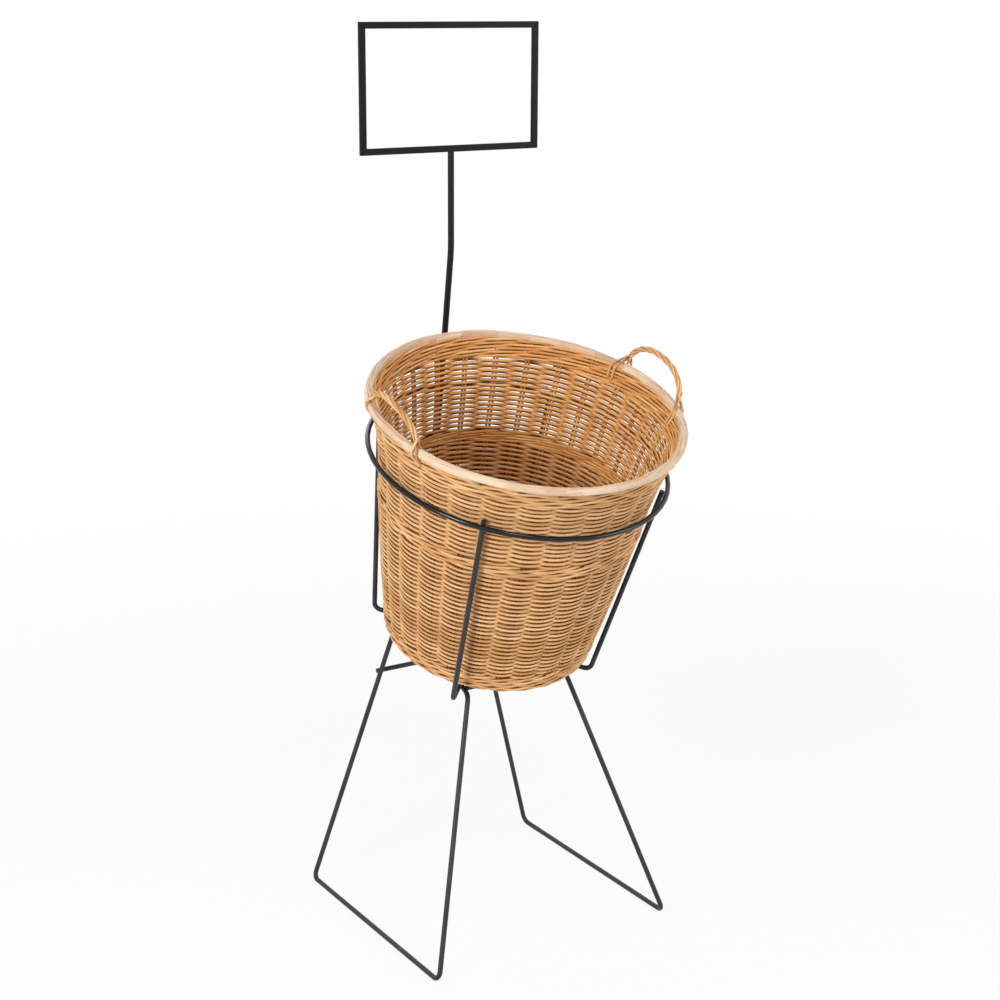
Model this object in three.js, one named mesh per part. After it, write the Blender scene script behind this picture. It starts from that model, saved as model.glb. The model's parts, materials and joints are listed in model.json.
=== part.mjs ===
// Bakery bread rack: a bent-wire stand that carries a tilted wicker basket, with an empty
// sign frame on a pole behind it. Millimetres, +Z up, front towards -Y, origin on the floor
// midway between the two sled legs.
import * as THREE from 'three';
import { mergeVertices } from 'three/addons/utils/BufferGeometryUtils.js';

// Round rod of the stand, and the gap that pieces in contact keep between them.
const WIRE = 6.4;
const POLE = 8;
const SEAT_GAP = 0.3;
const ROD_SIDES = 10;
const HOOP_SEGMENTS = 60;
const BEND_STEP = THREE.MathUtils.degToRad(15);

// Sled legs: one bent rod on each side, leaning inwards.
const FOOT_HALF_TRACK = 170.5;
const FLOOR_BAR_LENGTH = 330;
const SLED_LEAN = THREE.MathUtils.degToRad(16.9);
const TOP_BAR_FRONT = -74.1;
const TOP_BAR_REAR = 119.8;
const FOOT_BEND = 9;
const TOP_BEND = 14;
const BUTT_GAP = 0.5;

// Cross bars between the sled legs.
const REAR_BAR_HEIGHT = 291.7;
const REAR_BAR_OVERHANG = 2;
const FRONT_BAR_SETBACK = 13;

// Seat of the basket: the point under the middle of its base, and its tilt to the front. The
// basket is loose and leans a little to the left inside the hoop.
const SEAT_HEIGHT = 369;
const SEAT_DEPTH = 8.9;
const TILT = THREE.MathUtils.degToRad(18);
const BASKET_LEAN = THREE.MathUtils.degToRad(1.4);

// Cradle: two crossed U wires inside a hoop, measured along the tilted axis. The wires stand
// clear of the wicker wall at the hoop and at the foot.
const HOOP_HEIGHT = 261.3;
const HOOP_CLEARANCE = 1.6;
const FOOT_CLEARANCE = 8.3;
const CRADLE_ANGLE = THREE.MathUtils.degToRad(45);
const CRADLE_BEND = 9;
const CRADLE_PROUD = 6;
const CROSSING_HALF = 34;
const CROSSING_CREST = 9;
const CROSSING_BEND = 18;

// Sign pole and frame. The pole passes behind the border of the basket.
const POLE_CLEARANCE = 5.3;
const POLE_BEND_HEIGHT = 850.7;
const POLE_BEND = 140;
const POLE_TAIL = 12;
const SIGN_WIDTH = 254;
const SIGN_HEIGHT = 156;
const SIGN_BAR = 8;
const SIGN_BAR_DEPTH = 5;
const SIGN_BASE = 971.7;

// Basket: outside radii and heights along its own axis.
const STAKES = 27;
const SEGMENTS_PER_STAKE = 2;
const ROW_PITCH = 3.25;
const INNER_STEP = 10;
const BASKET_HEIGHT = 334.5;
const FOOT_RADIUS = 133.5;
const FOOT_HEIGHT = 14;
const MOUTH_RADIUS = 189;
const MOUTH_FLARE = 12;
const FLARE_HEIGHT = 227.5;
const WALL_BELLY = 4.5;
const WALL = 6;
const SCALLOP = 1.1;
const BASE_RADIUS = 122;
const BASE_THICKNESS = 6;
const MIDDLE_WALE_HEIGHT = 191.5;
const MIDDLE_WALE = 14;
const TOP_WALE = 22;
const WALE_SWELL = 0.8;
const BORDER_HEIGHT = 10;
const BORDER_WIDTH = 9.5;
const BORDER_OVERHANG = 6;

// Handles: loops standing on the border at the left and the right.
const HANDLE_SPAN = 110;
const RIGHT_HANDLE_RISE = 41;
const LEFT_HANDLE_RISE = 27;
const HANDLE_SQUARENESS = 3;
const HANDLE_ROD = 8;
const HANDLE_STEPS = 20;

const blackCoat = new THREE.MeshStandardMaterial({ color: 0x2b2d2f, roughness: 0.55, metalness: 0.3 });
const rattan = new THREE.MeshStandardMaterial({ color: 0xc89458, roughness: 0.6, metalness: 0 });
const paleRattan = new THREE.MeshStandardMaterial({ color: 0xdfb587, roughness: 0.6, metalness: 0 });

// A path whose steps fall on its own points, so that straight stretches stay one step long.
class RodPath extends THREE.Curve {
  constructor(points) {
    super();
    this.points = points;
  }

  getPoint(t, target = new THREE.Vector3()) {
    const last = this.points.length - 1;
    const place = t * last;
    const index = Math.min(Math.floor(place), last - 1);
    return target.lerpVectors(this.points[index], this.points[index + 1], place - index);
  }

  getPointAt(u, target) {
    return this.getPoint(u, target);
  }

  getTangentAt(u, target = new THREE.Vector3()) {
    const last = this.points.length - 1;
    const index = Math.round(u * last);
    const before = this.points[Math.max(index - 1, 0)];
    const after = this.points[Math.min(index + 1, last)];
    const here = this.points[index];
    const arriving = here.clone().sub(before).normalize();
    const leaving = after.clone().sub(here).normalize();
    return target.copy(arriving).add(leaving).normalize();
  }
}

// Replaces each inner corner of a line of points by an arc of the corner's own radius.
function roundCorners(corners) {
  const points = [corners[0].at];
  for (let i = 1; i < corners.length - 1; i += 1) {
    const { at, radius } = corners[i];
    const back = corners[i - 1].at.clone().sub(at).normalize();
    const ahead = corners[i + 1].at.clone().sub(at).normalize();
    const halfAngle = back.angleTo(ahead) / 2;
    const turn = Math.PI - 2 * halfAngle;
    const centre = back.clone().add(ahead).normalize().multiplyScalar(radius / Math.sin(halfAngle)).add(at);
    const from = back.multiplyScalar(radius / Math.tan(halfAngle)).add(at).sub(centre);
    const to = ahead.multiplyScalar(radius / Math.tan(halfAngle)).add(at).sub(centre);
    const steps = Math.max(2, Math.ceil(turn / BEND_STEP));
    for (let k = 0; k <= steps; k += 1) {
      const share = k / steps;
      const a = from.clone().multiplyScalar(Math.sin((1 - share) * turn) / Math.sin(turn));
      const b = to.clone().multiplyScalar(Math.sin(share * turn) / Math.sin(turn));
      points.push(a.add(b).add(centre));
    }
  }
  points.push(corners[corners.length - 1].at);
  return points;
}

function rod(points, diameter) {
  const section = new THREE.Shape();
  for (let i = 0; i < ROD_SIDES; i += 1) {
    const angle = ((i + 0.5) * 2 * Math.PI) / ROD_SIDES;
    const x = (diameter / 2) * Math.cos(angle);
    const y = (diameter / 2) * Math.sin(angle);
    if (i === 0) {
      section.moveTo(x, y);
    } else {
      section.lineTo(x, y);
    }
  }
  section.closePath();
  return new THREE.ExtrudeGeometry(section, { steps: points.length - 1, extrudePath: new RodPath(points) });
}

function solid(name, geometry, material) {
  geometry.deleteAttribute('normal');
  geometry.deleteAttribute('uv');
  const merged = mergeVertices(geometry, 1e-4);
  merged.computeVertexNormals();
  const mesh = new THREE.Mesh(merged, material);
  mesh.name = name;
  return mesh;
}

const corner = (x, y, z, radius = 0) => ({ at: new THREE.Vector3(x, y, z), radius });

// Outside radius of the wicker wall at a height above the underside of the basket: a taper
// with a slight belly that flares towards the mouth.
const borderFoot = BASKET_HEIGHT - BORDER_HEIGHT;
const straightRise = MOUTH_RADIUS - MOUTH_FLARE - FOOT_RADIUS;
function wallRadius(height) {
  const share = (height - FOOT_HEIGHT) / (borderFoot - FOOT_HEIGHT);
  const belly = 4 * WALL_BELLY * share * (1 - share);
  const flareShare = Math.max(0, (height - FLARE_HEIGHT) / (borderFoot - FLARE_HEIGHT));
  return FOOT_RADIUS + straightRise * share + belly + MOUTH_FLARE * flareShare ** 2;
}

// Centre lines of the cradle wires and of the hoop that they are welded into.
const cradleFootRadius = FOOT_RADIUS + FOOT_CLEARANCE + WIRE / 2;
const cradleHoopRadius = wallRadius(HOOP_HEIGHT) + SCALLOP + HOOP_CLEARANCE + WIRE / 2;
const hoopRadius = cradleHoopRadius + WIRE + SEAT_GAP;
const borderRadius = wallRadius(borderFoot) + BORDER_OVERHANG;
const borderMiddle = borderFoot + SEAT_GAP + BORDER_HEIGHT / 2;

// Levels along the tilted axis, counted from the underside of the basket. The leaning base
// sits on the crest of the crossing.
const leanDrop = Math.tan(BASKET_LEAN) * (HOOP_HEIGHT * Math.sin(BASKET_LEAN) + CROSSING_CREST);
const crestLevel = -SEAT_GAP - leanDrop - WIRE / 2;
const cradleLevel = crestLevel - WIRE - SEAT_GAP;
const topBarLevel = cradleLevel - WIRE - SEAT_GAP;

// Height above the floor of a point at the given level along the tilted axis.
function heightAt(depth, level) {
  return SEAT_HEIGHT + (level + (depth - SEAT_DEPTH) * Math.sin(TILT)) / Math.cos(TILT);
}

const sledHalfWidth = (height) => FOOT_HALF_TRACK - Math.tan(SLED_LEAN) * (height - WIRE / 2);

const topBarPoint = (side, depth) => {
  const height = heightAt(depth, topBarLevel);
  return new THREE.Vector3(side * sledHalfWidth(height), depth, height);
};

// Each sled is one rod bent into a closed loop, butted in the middle of its top bar.
function sledLeg(name, side) {
  const front = topBarPoint(side, TOP_BAR_FRONT);
  const rear = topBarPoint(side, TOP_BAR_REAR);
  const butt = front.clone().lerp(rear, 0.5);
  const along = rear.clone().sub(front).normalize().multiplyScalar(BUTT_GAP / 2);
  const start = butt.clone().sub(along);
  const end = butt.clone().add(along);
  const path = roundCorners([
    { at: start, radius: 0 },
    { at: front, radius: TOP_BEND },
    corner(side * FOOT_HALF_TRACK, -FLOOR_BAR_LENGTH / 2, WIRE / 2, FOOT_BEND),
    corner(side * FOOT_HALF_TRACK, FLOOR_BAR_LENGTH / 2, WIRE / 2, FOOT_BEND),
    { at: rear, radius: TOP_BEND },
    { at: end, radius: 0 },
  ]);
  return solid(name, rod(path, WIRE), blackCoat);
}

// The rear bar lies behind the rear legs, the front bar is butted between the top bars.
const rearFoot = new THREE.Vector3(FOOT_HALF_TRACK, FLOOR_BAR_LENGTH / 2, WIRE / 2);
const rearTop = topBarPoint(1, TOP_BAR_REAR);
const rearShare = (REAR_BAR_HEIGHT - rearFoot.z) / (rearTop.z - rearFoot.z);
const rearLegAtBar = rearFoot.clone().lerp(rearTop, rearShare);
const rearLegSlope = Math.atan2(rearFoot.y - rearTop.y, rearTop.z - rearFoot.z);
const rearBarDepth = rearLegAtBar.y + (WIRE + SEAT_GAP) / Math.cos(rearLegSlope);

function rearCrossBar() {
  const half = rearLegAtBar.x + REAR_BAR_OVERHANG;
  const path = [
    new THREE.Vector3(-half, rearBarDepth, REAR_BAR_HEIGHT),
    new THREE.Vector3(half, rearBarDepth, REAR_BAR_HEIGHT),
  ];
  return solid('rear_cross_bar', rod(path, WIRE), blackCoat);
}

function frontCrossBar() {
  const end = topBarPoint(1, TOP_BAR_FRONT + FRONT_BAR_SETBACK);
  const half = end.x - (WIRE / 2 + SEAT_GAP) / Math.cos(SLED_LEAN);
  const path = [new THREE.Vector3(-half, end.y, end.z), new THREE.Vector3(half, end.y, end.z)];
  return solid('front_cross_bar', rod(path, WIRE), blackCoat);
}

// Pieces that share the tilted axis are placed in a group of their own.
function tiltedGroup() {
  const group = new THREE.Group();
  group.position.set(0, SEAT_DEPTH, SEAT_HEIGHT);
  group.rotation.x = TILT;
  return group;
}

function hoop() {
  const ring = new THREE.TorusGeometry(hoopRadius, WIRE / 2, ROD_SIDES, HOOP_SEGMENTS);
  const mesh = solid('basket_hoop', ring, blackCoat);
  mesh.position.z = HOOP_HEIGHT;
  return mesh;
}

// A U wire runs down inside the hoop, under the base and up on the other side. The second
// one is bent up over the first where they cross.
function cradleWire(name, angle, overTheOther) {
  const across = new THREE.Vector3(Math.sin(angle), -Math.cos(angle), 0);
  const slope = (cradleHoopRadius - cradleFootRadius) / (HOOP_HEIGHT - cradleLevel);
  const tipRadius = cradleHoopRadius + slope * CRADLE_PROUD;
  const point = (reach, level, radius) => ({
    at: across.clone().multiplyScalar(reach).setZ(level),
    radius,
  });
  const corners = [
    point(tipRadius, HOOP_HEIGHT + CRADLE_PROUD, 0),
    point(cradleFootRadius, cradleLevel, CRADLE_BEND),
  ];
  if (overTheOther) {
    corners.push(point(CROSSING_HALF, cradleLevel, CROSSING_BEND));
    corners.push(point(CROSSING_CREST, crestLevel, CROSSING_BEND));
    corners.push(point(-CROSSING_CREST, crestLevel, CROSSING_BEND));
    corners.push(point(-CROSSING_HALF, cradleLevel, CROSSING_BEND));
  }
  corners.push(point(-cradleFootRadius, cradleLevel, CRADLE_BEND));
  corners.push(point(-tipRadius, HOOP_HEIGHT + CRADLE_PROUD, 0));
  return solid(name, rod(roundCorners(corners), WIRE), blackCoat);
}

// Depth and height of the rearmost point of a ring round the tilted axis.
const ringBack = (radius, level) =>
  new THREE.Vector2(
    SEAT_DEPTH + radius * Math.cos(TILT) - level * Math.sin(TILT),
    SEAT_HEIGHT + radius * Math.sin(TILT) + level * Math.cos(TILT),
  );

// The pole leans along the back of the hoop and clear of the border, up to an upright bend
// that sets the depth of the sign.
const poleOffset = (WIRE + POLE) / 2 + SEAT_GAP;
const hoopBack = ringBack(hoopRadius, HOOP_HEIGHT);
const borderBack = ringBack(borderRadius, borderMiddle);
const hoopToBorder = borderBack.clone().sub(hoopBack);
const borderShift = POLE / 2 + POLE_CLEARANCE - poleOffset;
const poleLean =
  Math.atan2(-hoopToBorder.x, hoopToBorder.y) - Math.asin(borderShift / hoopToBorder.length());
const poleReach = hoopBack.x * Math.cos(poleLean) + hoopBack.y * Math.sin(poleLean) + poleOffset;
const poleDepthAt = (height) => (poleReach - height * Math.sin(poleLean)) / Math.cos(poleLean);
const signDepth = poleDepthAt(POLE_BEND_HEIGHT);

// The pole rises upright behind the rear bar, leans forward and ends upright under the sign.
function signPole() {
  const footDepth = rearBarDepth + poleOffset;
  const lowerBendHeight = POLE_BEND_HEIGHT - (footDepth - signDepth) / Math.tan(poleLean);
  const path = roundCorners([
    corner(0, footDepth, REAR_BAR_HEIGHT - POLE_TAIL),
    corner(0, footDepth, lowerBendHeight, POLE_BEND),
    corner(0, signDepth, POLE_BEND_HEIGHT, POLE_BEND),
    corner(0, signDepth, SIGN_BASE - SEAT_GAP),
  ]);
  return solid('sign_pole', rod(path, POLE), blackCoat);
}

// One mitred bar of the sign frame, drawn along its outer edge in the plane of the frame.
function signBar(name, length, turn) {
  const reach = turn % Math.PI === 0 ? SIGN_HEIGHT / 2 : SIGN_WIDTH / 2;
  const half = length / 2 - SEAT_GAP / 2;
  const section = new THREE.Shape();
  section.moveTo(-half, -reach);
  section.lineTo(half, -reach);
  section.lineTo(half - SIGN_BAR, -reach + SIGN_BAR);
  section.lineTo(-half + SIGN_BAR, -reach + SIGN_BAR);
  section.closePath();
  const bar = new THREE.ExtrudeGeometry(section, { depth: SIGN_BAR_DEPTH, bevelEnabled: false });
  bar.translate(0, 0, -SIGN_BAR_DEPTH / 2);
  bar.rotateZ(turn);
  return solid(name, bar, blackCoat);
}

function signFrame() {
  const group = new THREE.Group();
  group.position.set(0, signDepth, SIGN_BASE + SIGN_HEIGHT / 2);
  group.rotation.x = Math.PI / 2;
  group.add(signBar('sign_bar_bottom', SIGN_WIDTH, 0));
  group.add(signBar('sign_bar_right', SIGN_HEIGHT, Math.PI / 2));
  group.add(signBar('sign_bar_top', SIGN_WIDTH, Math.PI));
  group.add(signBar('sign_bar_left', SIGN_HEIGHT, -Math.PI / 2));
  return group;
}

// Turns an outline of radius and height points round the basket's axis. An outline that
// does not start on the axis is closed first.
function turned(outline) {
  const points = outline.map(([radius, height]) => new THREE.Vector2(radius, height));
  if (points[0].x > 0) {
    points.push(points[0].clone());
  }
  return new THREE.LatheGeometry(points, STAKES * SEGMENTS_PER_STAKE);
}

// Swells each row of the weave outwards where it passes in front of a stake and inwards where
// it passes behind one. The next row does the opposite.
function swellRows(geometry, from, rowHeight) {
  const places = geometry.attributes.position;
  for (let i = 0; i < places.count; i += 1) {
    const x = places.getX(i);
    const z = places.getZ(i);
    const radius = Math.hypot(x, z);
    const row = Math.round((places.getY(i) - from) / rowHeight);
    const wave = Math.cos((STAKES / 2) * Math.atan2(x, z));
    const swollen = radius + SCALLOP * (row % 2 === 0 ? wave : -wave);
    const outside = radius > wallRadius(places.getY(i)) - WALL / 2;
    const scale = outside ? swollen / radius : 1;
    places.setX(i, x * scale);
    places.setZ(i, z * scale);
  }
  return geometry;
}

// A lathe turns about Y, so each band is laid over on to the basket's own Z axis.
const upright = (geometry) => geometry.rotateX(Math.PI / 2);

function wallBand(name, from, to) {
  const rows = Math.round((to - from) / ROW_PITCH);
  const rowHeight = (to - from) / rows;
  const outside = [];
  for (let row = 0; row <= rows; row += 1) {
    const level = from + row * rowHeight;
    outside.push([wallRadius(level), level]);
  }
  const inside = outside.filter((point, row) => row % INNER_STEP === 0 || row === rows);
  const lining = inside.map(([radius, level]) => [radius - WALL, level]).reverse();
  const band = turned([...outside, ...lining]);
  return solid(name, upright(swellRows(band, from, rowHeight)), rattan);
}

function waleBand(name, from, to) {
  const middle = (from + to) / 2;
  const outline = [
    [wallRadius(from) - WALL, from],
    [wallRadius(from), from],
    [wallRadius(middle) + WALE_SWELL, middle],
    [wallRadius(to), to],
    [wallRadius(to) - WALL, to],
    [wallRadius(middle) - WALL - WALE_SWELL, middle],
  ];
  return solid(name, upright(turned(outline)), rattan);
}

// The foot curves in from the wall to the base.
function footWale() {
  const curve = (width, height) =>
    new THREE.EllipseCurve(BASE_RADIUS, FOOT_HEIGHT, width, height, -Math.PI / 2, 0).getPoints(5);
  const reach = FOOT_RADIUS - BASE_RADIUS;
  const outer = curve(reach, FOOT_HEIGHT);
  const inner = curve(reach - WALL, FOOT_HEIGHT - WALL).reverse();
  const outline = [...outer, ...inner].map((point) => [point.x, point.y]);
  return solid('basket_foot_wale', upright(turned(outline)), rattan);
}

// The base is a flat disc inside the foot.
function basketBase() {
  const edge = BASE_RADIUS - SEAT_GAP;
  const outline = [
    [0, 0],
    [edge, 0],
    [edge, BASE_THICKNESS],
    [0, BASE_THICKNESS],
  ];
  return solid('basket_base', upright(turned(outline)), rattan);
}

function border() {
  const middle = new THREE.Vector2(borderRadius - BORDER_WIDTH / 2, borderMiddle);
  const outline = [];
  for (let i = 0; i < 8; i += 1) {
    const angle = ((i + 0.5) * Math.PI) / 4;
    const stretch = 1 / Math.cos(Math.PI / 8);
    const x = middle.x + (BORDER_WIDTH / 2) * stretch * Math.cos(angle);
    const y = middle.y + (BORDER_HEIGHT / 2) * stretch * Math.sin(angle);
    outline.push([x, y]);
  }
  return solid('basket_border', upright(turned(outline)), paleRattan);
}

// A handle is a squarish arch whose feet stand upright on the border.
function handle(name, side, rise) {
  const crownRadius = borderRadius - BORDER_WIDTH / 2;
  const seat = borderMiddle + BORDER_HEIGHT / 2 + SEAT_GAP;
  const reach = side * Math.sqrt(crownRadius ** 2 - (HANDLE_SPAN / 2) ** 2);
  const squared = (value) => Math.sign(value) * Math.abs(value) ** (2 / HANDLE_SQUARENESS);
  const points = [];
  for (let i = 0; i <= HANDLE_STEPS; i += 1) {
    const turn = (i * Math.PI) / HANDLE_STEPS;
    const depth = (-HANDLE_SPAN / 2) * squared(Math.cos(turn));
    const height = i % HANDLE_STEPS === 0 ? 0 : rise * squared(Math.sin(turn));
    points.push(new THREE.Vector3(reach, depth, seat + height));
  }
  return solid(name, rod(points, HANDLE_ROD), rattan);
}

// The basket leans about the middle of the hoop.
function basket() {
  const group = tiltedGroup();
  group.translateZ(HOOP_HEIGHT);
  group.rotateY(-BASKET_LEAN);
  group.translateZ(-HOOP_HEIGHT);
  const topWaleFoot = borderFoot - TOP_WALE;
  const middleWaleTop = MIDDLE_WALE_HEIGHT + MIDDLE_WALE;
  group.add(basketBase());
  group.add(footWale());
  group.add(wallBand('basket_lower_wall', FOOT_HEIGHT + SEAT_GAP, MIDDLE_WALE_HEIGHT - SEAT_GAP));
  group.add(waleBand('basket_middle_wale', MIDDLE_WALE_HEIGHT, middleWaleTop));
  group.add(wallBand('basket_upper_wall', middleWaleTop + SEAT_GAP, topWaleFoot - SEAT_GAP));
  group.add(waleBand('basket_top_wale', topWaleFoot, borderFoot));
  group.add(border());
  group.add(handle('basket_handle_left', -1, LEFT_HANDLE_RISE));
  group.add(handle('basket_handle_right', 1, RIGHT_HANDLE_RISE));
  return group;
}

function stand() {
  const group = new THREE.Group();
  const cradle = tiltedGroup();
  cradle.add(hoop());
  cradle.add(cradleWire('cradle_wire_lower', CRADLE_ANGLE, false));
  cradle.add(cradleWire('cradle_wire_upper', -CRADLE_ANGLE, true));
  group.add(cradle);
  group.add(sledLeg('sled_leg_left', -1));
  group.add(sledLeg('sled_leg_right', 1));
  group.add(frontCrossBar());
  group.add(rearCrossBar());
  group.add(signPole());
  group.add(signFrame());
  return group;
}

const rack = new THREE.Group();
rack.add(stand());
rack.add(basket());

export default rack;
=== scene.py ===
"""Looks of the bakery bread rack: a black wire stand and a hand-woven rattan basket."""
import json
import math
import random

import bmesh
import bpy
import numpy as np
from mathutils import Matrix, Vector

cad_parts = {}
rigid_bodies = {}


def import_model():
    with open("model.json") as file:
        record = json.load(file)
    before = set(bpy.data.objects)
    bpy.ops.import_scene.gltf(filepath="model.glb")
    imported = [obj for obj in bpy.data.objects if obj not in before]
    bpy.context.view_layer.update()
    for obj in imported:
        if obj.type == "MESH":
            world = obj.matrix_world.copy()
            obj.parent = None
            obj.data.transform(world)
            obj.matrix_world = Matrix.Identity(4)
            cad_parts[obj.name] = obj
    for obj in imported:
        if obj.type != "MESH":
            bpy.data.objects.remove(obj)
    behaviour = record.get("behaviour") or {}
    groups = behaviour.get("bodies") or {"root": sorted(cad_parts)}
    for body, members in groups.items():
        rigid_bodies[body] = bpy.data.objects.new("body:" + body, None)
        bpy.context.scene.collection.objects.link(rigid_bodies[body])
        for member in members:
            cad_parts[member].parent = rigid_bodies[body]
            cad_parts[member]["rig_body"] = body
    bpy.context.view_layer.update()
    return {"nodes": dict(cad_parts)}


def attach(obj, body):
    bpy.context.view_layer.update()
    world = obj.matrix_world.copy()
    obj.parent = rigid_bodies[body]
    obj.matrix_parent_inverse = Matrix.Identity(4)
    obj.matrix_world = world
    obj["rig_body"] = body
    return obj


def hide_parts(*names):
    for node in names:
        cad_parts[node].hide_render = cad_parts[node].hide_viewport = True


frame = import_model()

TURN = 2 * math.pi

# Basket frame: the point under the middle of the base, its tilt to the front, and its slight
# lean to the left about the middle of the hoop.
SEAT = Vector((0.0, 0.0089, 0.369))
TILT = math.radians(18.0)
LEAN = math.radians(1.4)
HOOP = Vector((0.0, 0.0, 0.2613))
BASKET_FRAME = (
    Matrix.Translation(SEAT)
    @ Matrix.Rotation(TILT, 4, "X")
    @ Matrix.Translation(HOOP)
    @ Matrix.Rotation(-LEAN, 4, "Y")
    @ Matrix.Translation(-HOOP)
)

# Basket sizes in metres, along and round its own axis.
BASE_START = 0.0008
BASE_RADIUS = 0.122
BASE_LEVEL = 0.0043
FOOT_RADIUS = 0.1335
FOOT_HEIGHT = 0.014
MOUTH_RADIUS = 0.189
MOUTH_FLARE = 0.012
FLARE_HEIGHT = 0.2275
WALL_BELLY = 0.0045
WALL_INSET = 0.0030
BORDER_FOOT = 0.3245
BORDER_HEIGHT = 0.010
BORDER_WIDTH = 0.0095
BORDER_OVERHANG = 0.006

# Stakes of the wall, in pairs, and the sticks that spread from the middle of the base.
STAKES = 27
STAKE_STEP = TURN / STAKES
STAKE_RADIUS = 0.0017
STAKE_SPREAD = 0.0021
STAKE_FROM = 0.046
STAKE_TO = BORDER_FOOT + 0.006
STAKE_SHADE = 0.5
STICKS = 9
STICK_RADIUS = 0.0021
STICK_FROM = 0.001
STICK_TO = 0.118

# Weavers of the base and the walls. The swing is how far a weaver stands out over a stake, the
# sag how far it drops there. A back sag is the sag at the back of the basket, as a share of the
# sag in front.
REED_PITCH = 0.00325
REED_HALF = 0.00172
FULL_REED_HALF = REED_HALF * 1.12
REED_DEPTH = 0.0016
BASE_SWING = 0.0025
LOWER_SWING = 0.0025
UPPER_SWING = 0.0022
WALL_SAG = 0.0008
SAG_SIDE = math.radians(-10)
LOWER_BACK_SAG = 1.0
UPPER_BACK_SAG = -0.6
WEAVER_TURNS = (1.2, 2.1)
WEAVER_SIZE = (0.96, 1.05)
WAVE_POWER = 0.7
WANDER = 0.00022
WANDER_RATE = (2.3, 4.7)
WANDER_PHASE = (0, 6)
END_TUCK = 0.0016
INNER_TURNS = 13
INNER_TO = 0.048
OUTER_TO = BASE_RADIUS - 0.002

# Wales: rows of three rods, each over two stakes and under the third.
WALE_RODS = 3
WALE_RADIUS = 0.0018
WALE_SIZE = (0.95, 1.05)
WALE_SWING = 0.0019
WALE_RISE = 0.0017
WALE_STAGGER = 1.3
FOOT_WALE_FROM = BASE_RADIUS - 0.003
FOOT_WALE_TO = 0.026
FOOT_WALE_ROWS = 6
MIDDLE_WALE_FROM = 0.1915
MIDDLE_WALE_TO = 0.2055
MIDDLE_WALE_ROWS = 3
TOP_WALE_FROM = 0.3025
TOP_WALE_TO = BORDER_FOOT + 0.004
TOP_WALE_ROWS = 5

# Border: flat peeled laths on both sides of the mouth, and round rods that cross over the top.
# A lath comes up at its head, where it starts, and goes down at its tail. Lengths are in stakes,
# head and tail in shares of a lath.
LAP_BACK = 0.4
LATH_LENGTH = 1.8
LATH_HEAD = 0.3
LATH_TAIL = 0.24
LATH_LIFT = (-0.0010, 0.0010)
LATH_RAISE = 0.0004
LATH_REACH = 0.0034
LATH_PLAY = (-0.0005, 0.0007)
LATH_HALF = (0.0034, 0.0041)
LATH_TAPER = 0.0011
LATH_DEPTH = 0.0014
LATH_LEAN = 0.30
LATH_SHADE = 0.5
HEAD_PULL = 0.0026
HEAD_DROP = 0.0034
TAIL_PULL = 0.0014
TAIL_DROP = 0.0046
CROSS_LENGTH = 1.9
CROSS_REACH = 0.0022
CROSS_RADIUS = 0.0022
CROSS_RAISE = 0.0008
CROSS_ARCH = 0.0018
CROSS_LEAN = 0.4

# Handles: loops of four twisted rods, whose ends pass the border outside and inside by turns. A
# splay is how far the ends stand apart along the border. An end has its reach from the middle of
# the border, its gap to the wall where it bends below the border, and the depth of its tip.
HANDLE_SPAN = 0.110
HANDLE_SEAT = BORDER_FOOT + BORDER_HEIGHT + 0.0006
HANDLE_SQUARENESS = 2.2
HANDLE_LEAN = 0.2
HANDLE_RODS = 4
HANDLE_TWISTS = 2.0
HANDLE_STRAND = 0.0021
HANDLE_ROD_RADIUS = 0.0017
HANDLE_SHADE = 0.9
LEFT_RISE = 0.027
RIGHT_RISE = 0.038
OUTER_SPLAY = 0.002
LEFT_SPLAY = -0.003
RIGHT_SPLAY = 0.012
END_STEP = 0.0034
END_HEIGHT = BORDER_FOOT + BORDER_HEIGHT * 0.45
END_BEND = 0.009
END_INSET = 0.0045
END_FACING = (0.02, 0.05)
END_POINTS = 3
OUTER_END = {"reach": 0.0066, "bend": 0.00131, "depth": 0.026}
INNER_END = {"reach": -0.0064, "bend": -0.00719, "depth": 0.013}

# Points along the swept shapes, and sides round them.
BASE_POINTS = 60
FOOT_POINTS = 16
WALL_POINTS = 120
STICK_POINTS = 24
STAKE_POINTS = 70
LATH_POINTS = 30
ARCH_POINTS = 90
ARCH_FREE = slice(8, -8, 3)
STEPS_PER_STAKE = 8
PATH_STEPS = 4
WEAVER_SIDES = 6
ROD_SIDES = 8
LATH_SIDES = 12

# Painted shade in the hollows of the weave, as a share of the reed's own colour, and how far
# round a reed it reaches.
PAINTED_SHADE_TINT = (0.14, 0.045, 0.004)
PAINTED_SHADE_REACH = 0.3

# Painted warm bounce light on the sides of the reeds that face into the basket, as a share of
# the reed's own colour.
WARM_BOUNCE_TINT = (1.06, 0.92, 0.66)

# Cane: scales of the fibres along and across a reed, and their shift from reed to reed.
FIBRE_STRETCH = (45.0, 1600.0, 1600.0)
FIBRE_SHIFT = 7.0

# Stand: the weld in the middle of each sled leg's top bar, which runs inwards to the rear.
WELD_PLACE = (0.0635, 0.02285, 0.35535)
WELD_TAPER = 0.0987
WELD_HALF_WIDTH = 0.0036
WELD_HALF_LENGTH = 0.0030
MERGE_GAP = 0.00001
SIGN_EDGE = 0.0004
SMOOTH_BELOW = math.radians(50)

# Camera of the photograph.
CAMERA_PLACE = (-1.220815, -1.930627, 1.16192)
CAMERA_AZIMUTH = math.radians(-32.719)
CAMERA_ELEVATION = math.radians(15.084)
CAMERA_ROLL = math.radians(0.311)
SENSOR_WIDTH = 36.0
LENS_SHARE = 1.883092

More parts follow.
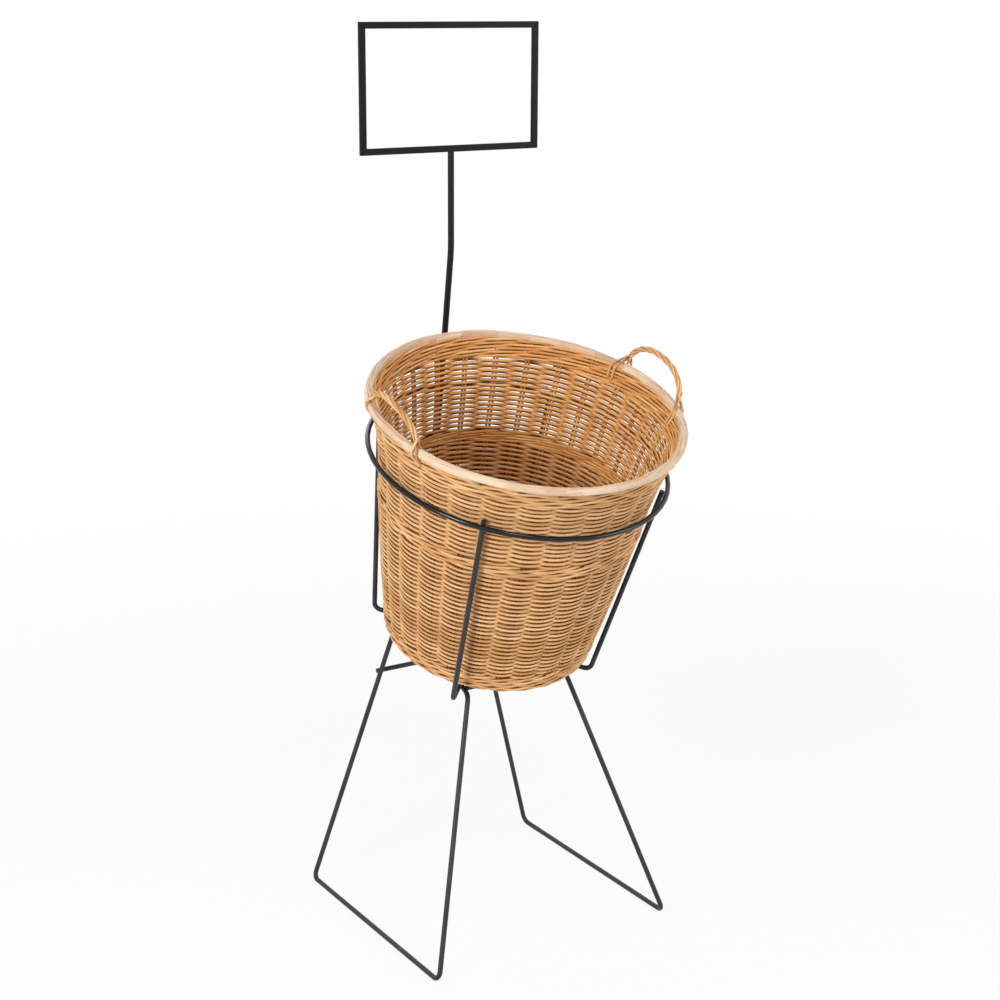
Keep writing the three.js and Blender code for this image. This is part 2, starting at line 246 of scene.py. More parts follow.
# Studio: lamps with their place, size and watts, a floor that glows less near the rack, and a
# white world that lights less than it shows.
LAMP_TARGET = (0.0, 0.0, 0.55)
LAMPS = (
    ("key", (-2.96, -1.26, 1.7), 1.1, 75.0),
    ("top", (-0.4, -1.9, 3.0), 0.42, 15.0),
    ("fill", (2.2, -2.2, 1.1), 2.0, 32.0),
    ("back", (0.6, 2.6, 2.4), 1.6, 14.0),
)
FLOOR_HALF = 30.0
FLOOR_GREY = (0.85, 0.85, 0.85, 1.0)
FLOOR_NEAR = 0.9
FLOOR_FAR = 2.4
NEAR_GLOW = 0.9
WORLD_LIGHT = 0.4
WHITE = (1.0, 1.0, 1.0, 1.0)

rng = random.Random(11)


def ring_point(angle, radius, height):
    """Points round the basket's axis, angle 0 at the front and growing to the right."""
    return np.stack([radius * np.sin(angle), -radius * np.cos(angle), height + 0 * angle], axis=-1)


def wall_radius(height):
    """Outside radius of the wall at a height."""
    share = (height - FOOT_HEIGHT) / (BORDER_FOOT - FOOT_HEIGHT)
    straight = FOOT_RADIUS + (MOUTH_RADIUS - MOUTH_FLARE - FOOT_RADIUS) * share
    belly = 4 * WALL_BELLY * share * (1 - share)
    flare = np.maximum(0.0, (height - FLARE_HEIGHT) / (BORDER_FOOT - FLARE_HEIGHT))
    return straight + belly + MOUTH_FLARE * flare**2


BORDER_MIDDLE_RADIUS = float(wall_radius(BORDER_FOOT)) + BORDER_OVERHANG - BORDER_WIDTH / 2
BORDER_MIDDLE_HEIGHT = BORDER_FOOT + BORDER_HEIGHT / 2


def travelled(points):
    """Distance along a line at each of its points."""
    step = np.linalg.norm(np.diff(points, axis=0), axis=1)
    return np.concatenate([[0.0], np.cumsum(step)])


def unit(vectors):
    """Vectors of length 1 in the same directions."""
    return vectors / np.linalg.norm(vectors, axis=1)[:, None]


def each_point(value, count):
    """A value for each point of a line, from one number or from a list."""
    return np.broadcast_to(np.asarray(value, float), (count,))


def ease(value):
    """A soft step from 0 to 1."""
    value = np.clip(value, 0.0, 1.0)
    return value * value * (3 - 2 * value)


def smooth_path(corners):
    """A smooth curve through the given points."""
    padded = np.vstack([2 * corners[0] - corners[1], corners, 2 * corners[-1] - corners[-2]])
    share = np.linspace(0, 1, PATH_STEPS, endpoint=False)[:, None]
    pieces = []
    for i in range(len(corners) - 1):
        a, b, c, d = padded[i:i + 4]
        bend = 2 * a - 5 * b + 4 * c - d
        twist = 3 * (b - c) + d - a
        pieces.append(0.5 * (2 * b + (c - a) * share + bend * share**2 + twist * share**3))
    pieces.append(corners[-1:])
    return np.vstack(pieces)


def add_object(name, data):
    """Puts a mesh, lamp or camera in the scene."""
    thing = bpy.data.objects.new(name, data)
    bpy.context.scene.collection.objects.link(thing)
    return thing


def add_smooth_piece(name, mesh, material):
    """Puts a smooth mesh of one material in the scene."""
    mesh.polygons.foreach_set("use_smooth", np.ones(len(mesh.polygons), bool))
    mesh.materials.append(material)
    return add_object(name, mesh)


class Profile:
    """The middle of the wicker from the centre of the base, round the foot, to the border."""

    def __init__(self):
        base_radius = np.linspace(BASE_START, BASE_RADIUS, BASE_POINTS)
        base_height = np.full(BASE_POINTS, BASE_LEVEL)
        turn = np.linspace(0, math.pi / 2, FOOT_POINTS)[1:-1]
        foot_reach = FOOT_RADIUS - WALL_INSET - BASE_RADIUS
        foot_rise = FOOT_HEIGHT - BASE_LEVEL
        foot_radius = BASE_RADIUS + foot_reach * np.sin(turn)
        foot_height = FOOT_HEIGHT - foot_rise * np.cos(turn)
        wall_height = np.linspace(FOOT_HEIGHT, BORDER_FOOT + BORDER_HEIGHT, WALL_POINTS)
        inset_radius = wall_radius(wall_height) - WALL_INSET
        self.radius = np.concatenate([base_radius, foot_radius, inset_radius])
        self.height = np.concatenate([base_height, foot_height, wall_height])
        line = np.stack([self.radius, self.height], axis=1)
        self.travel = travelled(line)
        along = unit(np.gradient(line, self.travel, axis=0))
        self.normal_radius = along[:, 1]
        self.normal_height = -along[:, 0]
        self.base = slice(0, BASE_POINTS)
        self.wall = slice(len(base_radius) + len(foot_radius), None)

    def at_height(self, height):
        """Travel along the profile at a height of the wall."""
        return float(np.interp(height, self.height[self.wall], self.travel[self.wall]))

    def at_radius(self, radius):
        """Travel along the profile at a radius of the base."""
        return float(np.interp(radius, self.radius[self.base], self.travel[self.base]))

    def pick(self, values, travel):
        """The profile's values at a travel along it."""
        return np.interp(travel, self.travel, values)

    def path(self, angle, travel, swing):
        """Centre line and outward directions of a reed that swings about the profile."""
        normal_radius = self.pick(self.normal_radius, travel)
        normal_height = self.pick(self.normal_height, travel)
        radius = self.pick(self.radius, travel) + swing * normal_radius
        height = self.pick(self.height, travel) + swing * normal_height
        return ring_point(angle, radius, height), ring_point(angle, normal_radius, normal_height)


PROFILE = Profile()


class Reeds:
    """Gathers swept reeds and makes one mesh object of them."""

    def __init__(self, sides):
        turn = np.arange(sides) * TURN / sides
        self.sides = sides
        self.facing = np.cos(turn)
        self.edge = np.sin(turn)
        self.points = []
        self.faces = []
        self.fibre = []
        self.values = {"tone": [], "painted_shade": [], "inside": []}
        self.count = 0

    def add(self, centre, outward, radius, tone, depth=None, closed=False, sunk=0.0, inside=0.0):
        """Sweeps an oval of half width radius and half depth along a centre line. A reed that is
        sunk lies behind its neighbours on its outward side, and in front of them if below 0."""
        count = len(centre)
        if closed:
            tangent = unit(np.roll(centre, -1, 0) - np.roll(centre, 1, 0))
        else:
            tangent = unit(np.gradient(centre, axis=0))
        across = unit(np.cross(tangent, outward))
        normal = np.cross(across, tangent)
        wide = each_point(radius, count)
        deep = wide if depth is None else each_point(depth, count)
        ring = (
            centre[:, None, :]
            + deep[:, None, None] * self.facing[None, :, None] * normal[:, None, :]
            + wide[:, None, None] * self.edge[None, :, None] * across[:, None, :]
        )
        fibre = np.zeros((count, self.sides, 3))
        fibre[:, :, 0] = travelled(centre)[:, None] + tone * FIBRE_SHIFT
        fibre[:, :, 1] = self.facing * np.mean(wide)
        fibre[:, :, 2] = self.edge * np.mean(wide) + tone
        sunk = each_point(sunk, count)[:, None]
        # Painted shade: darker on the side that the reed's neighbours hide, and a little all round.
        shade_share = np.abs(sunk) * (np.sign(sunk) * self.facing + PAINTED_SHADE_REACH)
        self.points.append(ring.reshape(-1, 3))
        self.fibre.append(fibre.reshape(-1, 3))
        self.values["tone"].append(np.full(count * self.sides, tone))
        self.values["painted_shade"].append(np.clip(shade_share, 0.0, 1.0).ravel())
        self.values["inside"].append(np.tile(inside * np.clip(-self.facing, 0.0, 1.0), count))
        self._skin(count, closed)
        self.count += count * self.sides

    def _skin(self, count, closed):
        """Faces between the ovals of the newest reed, and over its ends if it isn't closed."""
        rows = np.arange(count if closed else count - 1)
        here = self.count + rows[:, None] * self.sides
        there = self.count + ((rows + 1) % count)[:, None] * self.sides
        now = np.arange(self.sides)[None, :]
        after = (now + 1) % self.sides
        quads = np.stack([here + now, here + after, there + after, there + now], axis=-1)
        self.faces.extend(quads.reshape(-1, 4).tolist())
        if not closed:
            first = self.count
            last = self.count + (count - 1) * self.sides
            self.faces.append([first + i for i in reversed(range(self.sides))])
            self.faces.append([last + i for i in range(self.sides)])

    def build(self, name, material):
        """One smooth mesh object with the reed values that its material reads."""
        turn = np.array(BASKET_FRAME.to_3x3())
        points = np.concatenate(self.points) @ turn.T + np.array(BASKET_FRAME.translation)
        mesh = bpy.data.meshes.new(name)
        mesh.from_pydata(points.tolist(), [], self.faces)
        fibre = mesh.attributes.new("fibre", "FLOAT_VECTOR", "POINT")
        fibre.data.foreach_set("vector", np.concatenate(self.fibre).ravel())
        for key, values in self.values.items():
            attribute = mesh.attributes.new(key, "FLOAT", "POINT")
            attribute.data.foreach_set("value", np.concatenate(values))
        mesh.validate()
        return add_smooth_piece(name, mesh, material)


def plain_weave(reeds, start, end, swing, half, sag=0.0, back_sag=1.0, stakes=STAKES):
    """One weaver after another in a rising spiral, over one stake and under the next. It
    sags a little in front of each stake, at the back of the basket by another share."""
    last = (end - start) / REED_PITCH * TURN
    stake_step = TURN / stakes
    begin = 0.0
    while begin < last - stake_step:
        finish = min(begin + rng.uniform(*WEAVER_TURNS) * TURN, last)
        points = int((finish - begin) / stake_step * STEPS_PER_STAKE)
        angle = np.linspace(begin - stake_step, finish, points)
        angle = np.unique(np.maximum(angle, 0.0))
        wave = np.cos(stakes * angle / 2)
        wave = np.sign(wave) * np.abs(wave) ** WAVE_POWER
        wander = WANDER * np.sin(angle * rng.uniform(*WANDER_RATE) + rng.uniform(*WANDER_PHASE))
        # 1 in front and 0 at the back of the basket.
        front = 0.5 + 0.5 * np.cos(angle - SAG_SIDE)
        drop = sag * (back_sag + (1 - back_sag) * front) * wave
        travel = start + REED_PITCH * angle / TURN + wander - drop
        tuck = ease((begin - angle) / stake_step) + ease((angle - finish + stake_step) / stake_step)
        centre, outward = PROFILE.path(angle, travel, swing * wave - END_TUCK * tuck)
        size = rng.uniform(*WEAVER_SIZE)
        # Painted shade on the side of a weaver that its neighbours hide as it swings in and out.
        reeds.add(centre, outward, half * size, rng.random(), REED_DEPTH * size, sunk=-wave, inside=1.0)
        begin = finish


def weave_base(material):
    """Sticks from the middle, woven round to the stakes and on to the foot."""
    reeds = Reeds(WEAVER_SIDES)
    travel = np.linspace(PROFILE.at_radius(STICK_FROM), PROFILE.at_radius(STICK_TO), STICK_POINTS)
    for stick in range(STICKS):
        angle = np.full(STICK_POINTS, stick * TURN / STICKS)
        centre, outward = PROFILE.path(angle, travel, 0.0)
        reeds.add(centre, outward, STICK_RADIUS, rng.random())
    change = PROFILE.at_radius(INNER_TO)
    start = change - INNER_TURNS * REED_PITCH
    end = PROFILE.at_radius(OUTER_TO)
    plain_weave(reeds, start, change, BASE_SWING, FULL_REED_HALF, stakes=STICKS)
    plain_weave(reeds, change, end, BASE_SWING, FULL_REED_HALF)
    return reeds.build("base_weave", material)


def weave_stakes(material):
    """Pairs of upright stakes, bent up at the foot from the base and hidden in the border."""
    reeds = Reeds(ROD_SIDES)
    travel = np.linspace(PROFILE.at_radius(STAKE_FROM), PROFILE.at_height(STAKE_TO), STAKE_POINTS)
    radius = PROFILE.pick(PROFILE.radius, travel)
    for stake in range(STAKES):
        for spread in (-STAKE_SPREAD, STAKE_SPREAD):
            angle = stake * STAKE_STEP + spread / radius
            centre, outward = PROFILE.path(angle, travel, 0.0)
            # Painted shade on the stakes, which lie between the weavers.
            reeds.add(centre, outward, STAKE_RADIUS, rng.random(), sunk=STAKE_SHADE)
    return reeds.build("basket_stakes", material)


def weave_wall(name, material, start, end, swing, half, back_sag):
    """A stretch of plain wall."""
    reeds = Reeds(WEAVER_SIDES)
    plain_weave(reeds, start, end, swing, half, WALL_SAG, back_sag)
    return reeds.build(name, material)


def weave_wale(name, material, start, end, rows):
    """A band of rows of three rods that rise as they go over the stakes."""
    reeds = Reeds(WEAVER_SIDES)
    angle = np.linspace(0, TURN, STAKES * STEPS_PER_STAKE, endpoint=False)
    for row in range(rows):
        level = start + (end - start) * (row + 0.5) / rows
        for rod in range(WALE_RODS):
            passed = angle / STAKE_STEP + rod + row * WALE_STAGGER
            phase = (passed - 0.5) * TURN / WALE_RODS
            # 1 over two stakes in turn and -1 under the third.
            over = 1 / 3 + 4 / 3 * np.cos(phase)
            travel = level + WALE_RISE * np.sin(phase)
            centre, outward = PROFILE.path(angle, travel, WALE_SWING * over)
            size = WALE_RADIUS * rng.uniform(*WALE_SIZE)
            # Painted shade on the side of a rod that passes under a stake.
            reeds.add(centre, outward, size, rng.random(), closed=True, sunk=-over, inside=1.0)
    return reeds.build(name, material)


def lay_laths(reeds, side):
    """Flat laths along the outside or the inside of the mouth, each lapping over the next."""
    share = np.linspace(0, 1, LATH_POINTS)
    head = 1 - ease(share / LATH_HEAD)
    tail = ease((share - 1 + LATH_TAIL) / LATH_TAIL)
    for stake in range(STAKES):
        angle = (stake + share * LATH_LENGTH - LAP_BACK) * STAKE_STEP
        height = BORDER_MIDDLE_HEIGHT + rng.uniform(*LATH_LIFT) + LATH_RAISE
        height = height - HEAD_DROP * head - TAIL_DROP * tail
        reach = LATH_REACH + rng.uniform(*LATH_PLAY) - HEAD_PULL * head - TAIL_PULL * tail
        half = rng.uniform(*LATH_HALF) - LATH_TAPER * (head + tail)
        centre = ring_point(angle, BORDER_MIDDLE_RADIUS + side * reach, height)
        outward = ring_point(angle, side, LATH_LEAN)
        # Painted shade at the head and tail of a lath, where it dips under its neighbours.
        reeds.add(centre, outward, half, rng.random(), LATH_DEPTH, sunk=LATH_SHADE * (head + tail))


def lay_cross_rods(reeds):
    """Round rods that cross the top of the border from the outside to the inside."""
    share = np.linspace(0, 1, LATH_POINTS)
    cross = np.cos(math.pi * share)
    height = BORDER_MIDDLE_HEIGHT + CROSS_RAISE + CROSS_ARCH * np.sin(math.pi * share)
    for stake in range(STAKES):
        angle = (stake + share * CROSS_LENGTH - LAP_BACK) * STAKE_STEP
        centre = ring_point(angle, BORDER_MIDDLE_RADIUS + CROSS_REACH * cross, height)
        outward = ring_point(angle, CROSS_LEAN * cross, 1.0)
        reeds.add(centre, outward, CROSS_RADIUS, rng.random())


def lay_border(material):
    """Peeled stakes turned down along the mouth."""
    reeds = Reeds(LATH_SIDES)
    for side in (1, -1):
        lay_laths(reeds, side)
    lay_cross_rods(reeds)
    return reeds.build("border_lay", material)


def squared(value):
    """A sine or cosine drawn out towards a square with round corners."""
    return np.sign(value) * np.abs(value) ** (2 / HANDLE_SQUARENESS)


def handle_arch(side, rise):
    """Middle line of a handle, from its front foot to its rear foot."""
    reach = math.sqrt(BORDER_MIDDLE_RADIUS**2 - (HANDLE_SPAN / 2) ** 2)
    turn = np.linspace(0, math.pi, ARCH_POINTS)
    height = rise * squared(np.sin(turn))
    across = side * (reach + HANDLE_LEAN * height)
    return np.stack([across, -HANDLE_SPAN / 2 * squared(np.cos(turn)), HANDLE_SEAT + height], 1)


def under_border(angle, drop, gap):
    """A point below the border, off the outside of the wall by a gap."""
    height = BORDER_FOOT - drop
    return ring_point(angle, float(wall_radius(height)) + gap, height)


def rod_end(foot, rod, away, inner_splay):
    """Points of one end of a handle's rod, from its tip in the weave up past the border."""
    outside = rod % 2 == 0
    kind = OUTER_END if outside else INNER_END
    splay = OUTER_SPLAY if outside else inner_splay
    shift = END_STEP * (rod - (HANDLE_RODS - 1) / 2) + away * splay
    angle = np.array(math.atan2(foot[0], -foot[1])) + shift / BORDER_MIDDLE_RADIUS
    tip = under_border(angle, kind["depth"], -END_INSET)
    bend = under_border(angle, END_BEND, kind["bend"])
    border = ring_point(angle, BORDER_MIDDLE_RADIUS + kind["reach"], END_HEIGHT)
    return [tip, bend, border]


def twist_handle(name, material, side, rise, inner_splay):
    """Four rods with a slow twist over the mouth, whose ends go down inside and outside the
    border."""
    arch = handle_arch(side, rise)
    along = travelled(arch)
    sideways = np.tile([side, 0.0, 0.0], (ARCH_POINTS, 1))
    inwards = np.cross(unit(np.gradient(arch, axis=0)), sideways)
    end_facing = np.tile([side, *END_FACING], (END_POINTS, 1))
    end_meeting = np.zeros(END_POINTS)
    reeds = Reeds(ROD_SIDES)
    for rod in range(HANDLE_RODS):
        phase = along / along[-1] * HANDLE_TWISTS * TURN + rod * TURN / HANDLE_RODS
        lay = np.cos(phase)[:, None] * sideways + np.sin(phase)[:, None] * inwards
        middle = (arch + HANDLE_STRAND * lay)[ARCH_FREE]
        front = rod_end(arch[0], rod, -side, inner_splay)
        rear = rod_end(arch[-1], rod, side, inner_splay)
        path = smooth_path(np.vstack([front, middle, rear[::-1]]))
        outward = smooth_path(np.vstack([end_facing, lay[ARCH_FREE], end_facing]))
        # Painted shade where the twisted rods hide one another.
        meeting = np.concatenate([end_meeting, np.full(len(middle), HANDLE_SHADE), end_meeting])
        sunk = -smooth_path(meeting[:, None])[:, 0]
        reeds.add(path, outward, HANDLE_ROD_RADIUS, rng.random(), sunk=sunk)
    return reeds.build(name, material)


class Nodes:
    """Short way to write a node tree."""

    def __init__(self, tree):
        self.tree = tree

    def fill(self, node, inputs):
        """Gives a node's inputs fixed values or the outputs of other nodes."""
        for key, value in inputs.items():
            if isinstance(value, bpy.types.NodeSocket):
                self.tree.links.new(value, node.inputs[key])
            else:
                node.inputs[key].default_value = value

    def new(self, kind, inputs=None, **settings):
        """A new node with its settings and inputs."""
        node = self.tree.nodes.new(kind)
        for key, value in settings.items():
            setattr(node, key, value)
        self.fill(node, inputs or {})
        return node

    def math(self, operation, first, second):
        return self.new("ShaderNodeMath", {0: first, 1: second}, operation=operation).outputs[0]

    def attribute(self, name, output="Fac"):
        """A value that the mesh carries."""
        return self.new("ShaderNodeAttribute", attribute_name=name).outputs[output]

    def noise(self, place, scale, detail):
        inputs = {"Vector": place, "Scale": scale, "Detail": detail}
        return self.new("ShaderNodeTexNoise", inputs).outputs["Fac"]

    def ramp(self, factor, stops):
        """A colour from stops, each a place and a colour of 0 to 255."""
        node = self.new("ShaderNodeValToRGB", {0: factor})
        elements = node.color_ramp.elements
        while len(elements) < len(stops):
            elements.new(0.5)
        for element, (place, colour) in zip(elements, stops):
            element.position = place
            element.color = (*map(linear, colour), 1.0)
        return node.outputs[0]

    def tint(self, colour, factor, share):
        """A colour times a share of it, as far as a factor says."""
        inputs = {"Factor": factor, "A": colour, "B": (*share, 1.0)}
        return self.new("ShaderNodeMix", inputs, data_type="RGBA", blend_type="MULTIPLY").outputs["Result"]

    def bump(self, height, strength, distance):
        inputs = {"Strength": strength, "Distance": distance, "Height": height}
        return self.new("ShaderNodeBump", inputs).outputs[0]


def linear(value):
    """Linear share of an sRGB value from 0 to 255."""
    value = value / 255.0
    return value / 12.92 if value <= 0.04045 else ((value + 0.055) / 1.055) ** 2.4


def new_material(name):
    """A material, its nodes and its main shader."""
    material = bpy.data.materials.new(name)
    material.use_nodes = True
    return material, Nodes(material.node_tree), material.node_tree.nodes["Principled BSDF"]


def reed_material(name, stops, tone_share, streak_share):
    """Split cane: every rod has a tone of its own, with long fibres and darker blotches. Painted
    shade darkens the hidden sides of the reeds, and painted warm bounce light tints their sides
    that face into the basket.
    """
    material, nodes, shader = new_material(name)
    fibre = nodes.attribute("fibre", "Vector")
    stretch = nodes.new("ShaderNodeVectorMath", {0: fibre, 1: FIBRE_STRETCH}, operation="MULTIPLY")
    streak = nodes.noise(stretch.outputs[0], scale=1.0, detail=4.0)
    blotch = nodes.noise(fibre, scale=28.0, detail=3.0)
    blotch_share = 1.0 - tone_share - streak_share
    mixed = nodes.math("MULTIPLY", nodes.attribute("tone"), tone_share)
    for value, share in ((streak, streak_share), (blotch, blotch_share)):
        mixed = nodes.math("ADD", mixed, nodes.math("MULTIPLY", value, share))
    # Painted shade on the hidden sides of the reeds.
    colour = nodes.tint(nodes.ramp(mixed, stops), nodes.attribute("painted_shade"), PAINTED_SHADE_TINT)
    # Painted warm bounce light on the sides of the reeds that face into the basket.
    colour = nodes.tint(colour, nodes.attribute("inside"), WARM_BOUNCE_TINT)
    nodes.fill(shader, {
        "Base Color": colour,
        "Roughness": nodes.math("ADD", nodes.math("MULTIPLY", streak, 0.25), 0.42),
        "Normal": nodes.bump(streak, strength=0.35, distance=0.0004),
        "Specular IOR Level": 0.12,
    })
    return material


def coat_material(name, dark, pale, rough, grain, shine):
    """Black powder coat: a fine pebbled skin with faint dust."""
    material, nodes, shader = new_material(name)
    place = nodes.new("ShaderNodeTexCoord").outputs["Object"]
    pebble = nodes.noise(place, scale=1400.0, detail=2.0)
    cloud = nodes.noise(place, scale=35.0, detail=5.0)
    nodes.fill(shader, {
        "Base Color": nodes.ramp(cloud, [(0.3, dark), (0.7, pale)]),
        "Roughness": nodes.math("ADD", nodes.math("MULTIPLY", cloud, 0.12), rough),
        "Normal": nodes.bump(pebble, strength=grain, distance=0.0002),
        "Specular IOR Level": shine,
    })
    return material


def skin_group(name, angle):
    """Geometry nodes that drop a solid's flat normals and shade it smoothly across edges below
    an angle."""
    group = bpy.data.node_groups.new(name, "GeometryNodeTree")
    for direction in ("INPUT", "OUTPUT"):
        group.interface.new_socket("Geometry", in_out=direction, socket_type="NodeSocketGeometry")
    nodes = Nodes(group)
    solid = nodes.new("NodeGroupInput").outputs[0]
    bend = nodes.new("GeometryNodeInputMeshEdgeAngle").outputs["Unsigned Angle"]
    soft = nodes.new("FunctionNodeCompare", {0: bend, 1: angle}, operation="LESS_THAN").outputs[0]
    strip = nodes.new("GeometryNodeRemoveAttribute", {"Geometry": solid, "Name": "custom_normal"})
    faces = nodes.new("GeometryNodeSetShadeSmooth", {"Geometry": strip.outputs[0]})
    edge_inputs = {"Geometry": faces.outputs[0], "Shade Smooth": soft}
    edges = nodes.new("GeometryNodeSetShadeSmooth", edge_inputs, domain="EDGE")
    nodes.new("NodeGroupOutput", {0: edges.outputs[0]})
    return group


def weld_bead(name, side, material):
    """The weld that closes the rod of a sled leg in the middle of its top bar."""
    along = Vector((-WELD_TAPER * side, 1.0, math.tan(TILT)))
    turn = along.to_track_quat("Z", "Y").to_matrix().to_4x4()
    place = Matrix.Translation((WELD_PLACE[0] * side, WELD_PLACE[1], WELD_PLACE[2]))
    size = Matrix.Diagonal((WELD_HALF_WIDTH, WELD_HALF_WIDTH, WELD_HALF_LENGTH, 1.0))
    bead = bmesh.new()
    bmesh.ops.create_uvsphere(bead, u_segments=20, v_segments=12, radius=1.0, matrix=place @ turn @ size)
    mesh = bpy.data.meshes.new(name)
    bead.to_mesh(mesh)
    bead.free()
    return add_smooth_piece(name, mesh, material)


def coat_rod(node, material, flat, skin_nodes):
    """Coats one CAD solid of the stand, closes its facets to a skin and rounds a flat bar's edges."""
    node.data.materials.clear()
    node.data.materials.append(material)
    weld = node.modifiers.new("weld", "WELD")
    weld.merge_threshold = MERGE_GAP
    if flat:
        bevel = node.modifiers.new("edge_round", "BEVEL")
        bevel.width = SIGN_EDGE
        bevel.segments = 2
        bevel.limit_method = "ANGLE"
    skin = node.modifiers.new("skin", "NODES")
    skin.node_group = skin_nodes


def dress_stand():
    """Gives the rods of the stand their coat and a smooth skin. The hoop is glossy, pole and
    sign are black and smooth, the legs and the cradle have a duller coat in a lighter grey,
    which is painted light."""
    round_skin = skin_group("round_skin", SMOOTH_BELOW)
    flat_skin = skin_group("flat_skin", 0.0)
    black = ((9, 10, 12), (17, 18, 20))
    gloss_coat = coat_material(
        "gloss_powder_coat", (5, 6, 8), (12, 13, 15), rough=0.10, grain=0.04, shine=0.36
    )
    pole_coat = coat_material("black_powder_coat", *black, rough=0.32, grain=0.08, shine=0.19)
    sign_coat = coat_material("sign_powder_coat", *black, rough=0.32, grain=0.08, shine=0.11)
    # A lighter grey than the black coat: painted light on the legs and the cradle.
    painted_light_coat = coat_material(
        "painted_light_powder_coat", (41, 42, 44), (55, 56, 58), rough=0.32, grain=0.12, shine=0.22
    )
    own_coats = {"basket_hoop": gloss_coat, "sign_pole": pole_coat}
    for name, node in frame["nodes"].items():
        if node["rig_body"] != "stand":
            continue
        if name.startswith("sign_bar"):
            coat_rod(node, sign_coat, True, flat_skin)
        else:
            coat_rod(node, own_coats.get(name, painted_light_coat), False, round_skin)
    for name, side in (("butt_weld_left", -1), ("butt_weld_right", 1)):
        bead = weld_bead(name, side, painted_light_coat)
        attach(bead, "stand")


def cane_materials():
    """Cane of the weavers, peeled cane of the border and older cane of the stakes."""
    weaver_stops = [
        (0.22, (160, 102, 48)),
        (0.42, (209, 157, 101)),
        (0.58, (230, 183, 131)),
        (0.78, (247, 214, 174)),
    ]
    pale_stops = [(0.28, (200, 161, 130)), (0.5, (221, 191, 163)), (0.72, (234, 214, 191))]
    stake_stops = [(0.25, (146, 88, 44)), (0.5, (178, 116, 64)), (0.75, (198, 138, 86))]
    rattan = reed_material("rattan_cane", weaver_stops, tone_share=0.22, streak_share=0.38)
    pale = reed_material("peeled_rattan", pale_stops, tone_share=0.30, streak_share=0.35)
    stake = reed_material("stake_cane", stake_stops, tone_share=0.30, streak_share=0.35)
    return rattan, pale, stake


def dress_basket():
    """Weaves the basket from the base up to the handles, then sets its stakes."""
    rattan, pale, stake = cane_materials()
    foot = PROFILE.at_radius(FOOT_WALE_FROM)
    lower = PROFILE.at_height(FOOT_WALE_TO)
    middle = PROFILE.at_height(MIDDLE_WALE_FROM)
    upper = PROFILE.at_height(MIDDLE_WALE_TO)
    top = PROFILE.at_height(TOP_WALE_FROM)
    mouth = PROFILE.at_height(TOP_WALE_TO)
    base = weave_base(rattan)
    foot_wale = weave_wale("foot_wale", rattan, foot, lower, FOOT_WALE_ROWS)
    lower_wall = weave_wall("lower_weave", rattan, lower, middle, LOWER_SWING, REED_HALF, LOWER_BACK_SAG)
    middle_wale = weave_wale("middle_wale", rattan, middle, upper, MIDDLE_WALE_ROWS)
    upper_wall = weave_wall("upper_weave", rattan, upper, top, UPPER_SWING, FULL_REED_HALF, UPPER_BACK_SAG)
    top_wale = weave_wale("top_wale", rattan, top, mouth, TOP_WALE_ROWS)
    border = lay_border(pale)
    left_handle = twist_handle("handle_twist_left", rattan, -1, LEFT_RISE, LEFT_SPLAY)
    right_handle = twist_handle("handle_twist_right", rattan, 1, RIGHT_RISE, RIGHT_SPLAY)
    pieces = [
        (base, "basket_base", "rattan"),
        (foot_wale, "basket_foot_wale", "rattan"),
        (lower_wall, "basket_lower_wall", "rattan"),
        (middle_wale, "basket_middle_wale", "rattan"),
        (upper_wall, "basket_upper_wall", "rattan"),
        (top_wale, "basket_top_wale", "rattan"),
        (border, "basket_border", "pale_rattan"),
        (left_handle, "basket_handle_left", "rattan"),
        (right_handle, "basket_handle_right", "rattan"),
    ]
    for piece, node, slot in pieces:
        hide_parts(node)
        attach(piece, "basket")
    stakes = weave_stakes(stake)
    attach(stakes, "basket")


def add_camera():
    """A camera at the photograph's place, aimed by azimuth, elevation and roll."""
    level = math.cos(CAMERA_ELEVATION)
    ahead = Vector((
        -math.sin(CAMERA_AZIMUTH) * level,
        math.cos(CAMERA_AZIMUTH) * level,
        -math.sin(CAMERA_ELEVATION),
    ))
    right = Vector((math.cos(CAMERA_AZIMUTH), math.sin(CAMERA_AZIMUTH), 0.0))
    up = right.cross(ahead)
    rolled_right = math.cos(CAMERA_ROLL) * right + math.sin(CAMERA_ROLL) * up
    rolled_up = math.cos(CAMERA_ROLL) * up - math.sin(CAMERA_ROLL) * right
    turn = Matrix((rolled_right, rolled_up, -ahead)).transposed().to_4x4()
    data = bpy.data.cameras.new("camera")
    data.sensor_width = SENSOR_WIDTH
    data.lens = SENSOR_WIDTH * LENS_SHARE
    camera = add_object("camera", data)
    camera.matrix_world = Matrix.Translation(CAMERA_PLACE) @ turn
    bpy.context.scene.camera = camera


def add_lamp(name, place, size, power):
    """A round area lamp that faces the rack."""
    data = bpy.data.lights.new(name, "AREA")
    data.shape = "DISK"
    data.size = size
    data.energy = power
    lamp = add_object(name, data)
    lamp.location = place
    lamp.rotation_euler = (Vector(LAMP_TARGET) - Vector(place)).to_track_quat("-Z", "Y").to_euler()


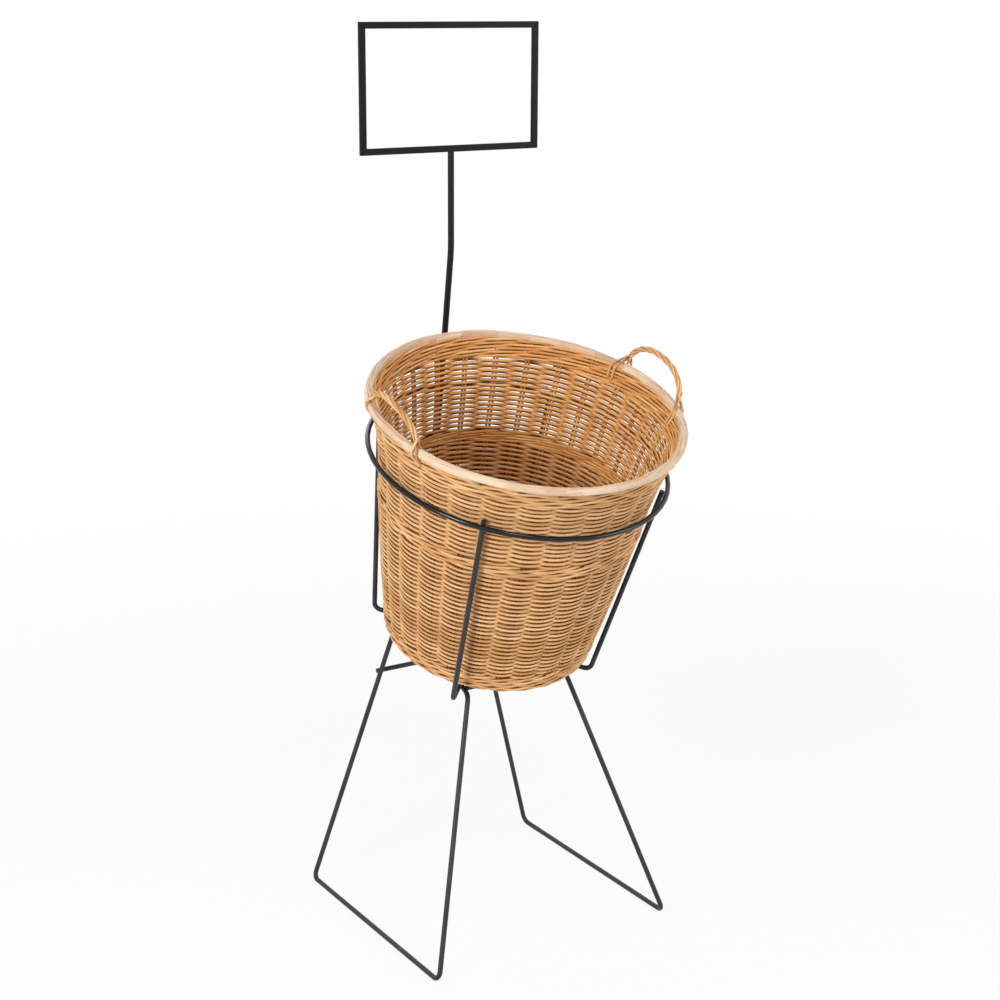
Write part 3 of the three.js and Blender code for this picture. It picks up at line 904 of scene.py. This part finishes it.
def seen_directly(nodes):
    """1 for rays that show the background: straight, in gloss or through glass."""
    path = nodes.new("ShaderNodeLightPath").outputs
    seen = nodes.math("MAXIMUM", path["Is Camera Ray"], path["Is Glossy Ray"])
    return nodes.math("MAXIMUM", seen, path["Is Transmission Ray"])


def floor_material():
    """Pale floor that shows almost white and keeps a soft shadow near the rack."""
    material, nodes, shader = new_material("pale_floor")
    nodes.fill(shader, {"Base Color": FLOOR_GREY, "Roughness": 0.9})
    glow = nodes.new("ShaderNodeEmission", {"Strength": 1.0})
    place = nodes.new("ShaderNodeTexCoord").outputs["Object"]
    reach = nodes.new("ShaderNodeVectorMath", {0: place}, operation="LENGTH")
    share = nodes.new("ShaderNodeMapRange", {
        "Value": reach.outputs["Value"],
        "From Min": FLOOR_NEAR,
        "From Max": FLOOR_FAR,
        "To Min": NEAR_GLOW,
        "To Max": 1.0,
    })
    shown = nodes.math("MULTIPLY", seen_directly(nodes), share.outputs[0])
    mix = nodes.new("ShaderNodeMixShader", {0: shown, 1: shader.outputs[0], 2: glow.outputs[0]})
    nodes.fill(nodes.tree.nodes["Material Output"], {"Surface": mix.outputs[0]})
    return material


def add_floor():
    """A wide square of floor."""
    corners = [(x * FLOOR_HALF, y * FLOOR_HALF, 0) for x, y in ((-1, -1), (1, -1), (1, 1), (-1, 1))]
    mesh = bpy.data.meshes.new("floor")
    mesh.from_pydata(corners, [], [(0, 1, 2, 3)])
    mesh.materials.append(floor_material())
    floor = add_object("floor", mesh)


def add_world():
    """A white backdrop all round."""
    world = bpy.data.worlds.new("studio")
    world.use_nodes = True
    nodes = Nodes(world.node_tree)
    inputs = {"Value": seen_directly(nodes), "To Min": WORLD_LIGHT, "To Max": 1.0}
    level = nodes.new("ShaderNodeMapRange", inputs).outputs[0]
    nodes.fill(nodes.tree.nodes["Background"], {"Color": WHITE, "Strength": level})
    bpy.context.scene.world = world


def add_studio():
    """World, floor and lamps."""
    add_world()
    add_floor()
    for lamp in LAMPS:
        add_lamp(*lamp)


add_camera()
add_studio()
dress_stand()
dress_basket()
bpy.context.scene.view_settings.view_transform = "Standard"
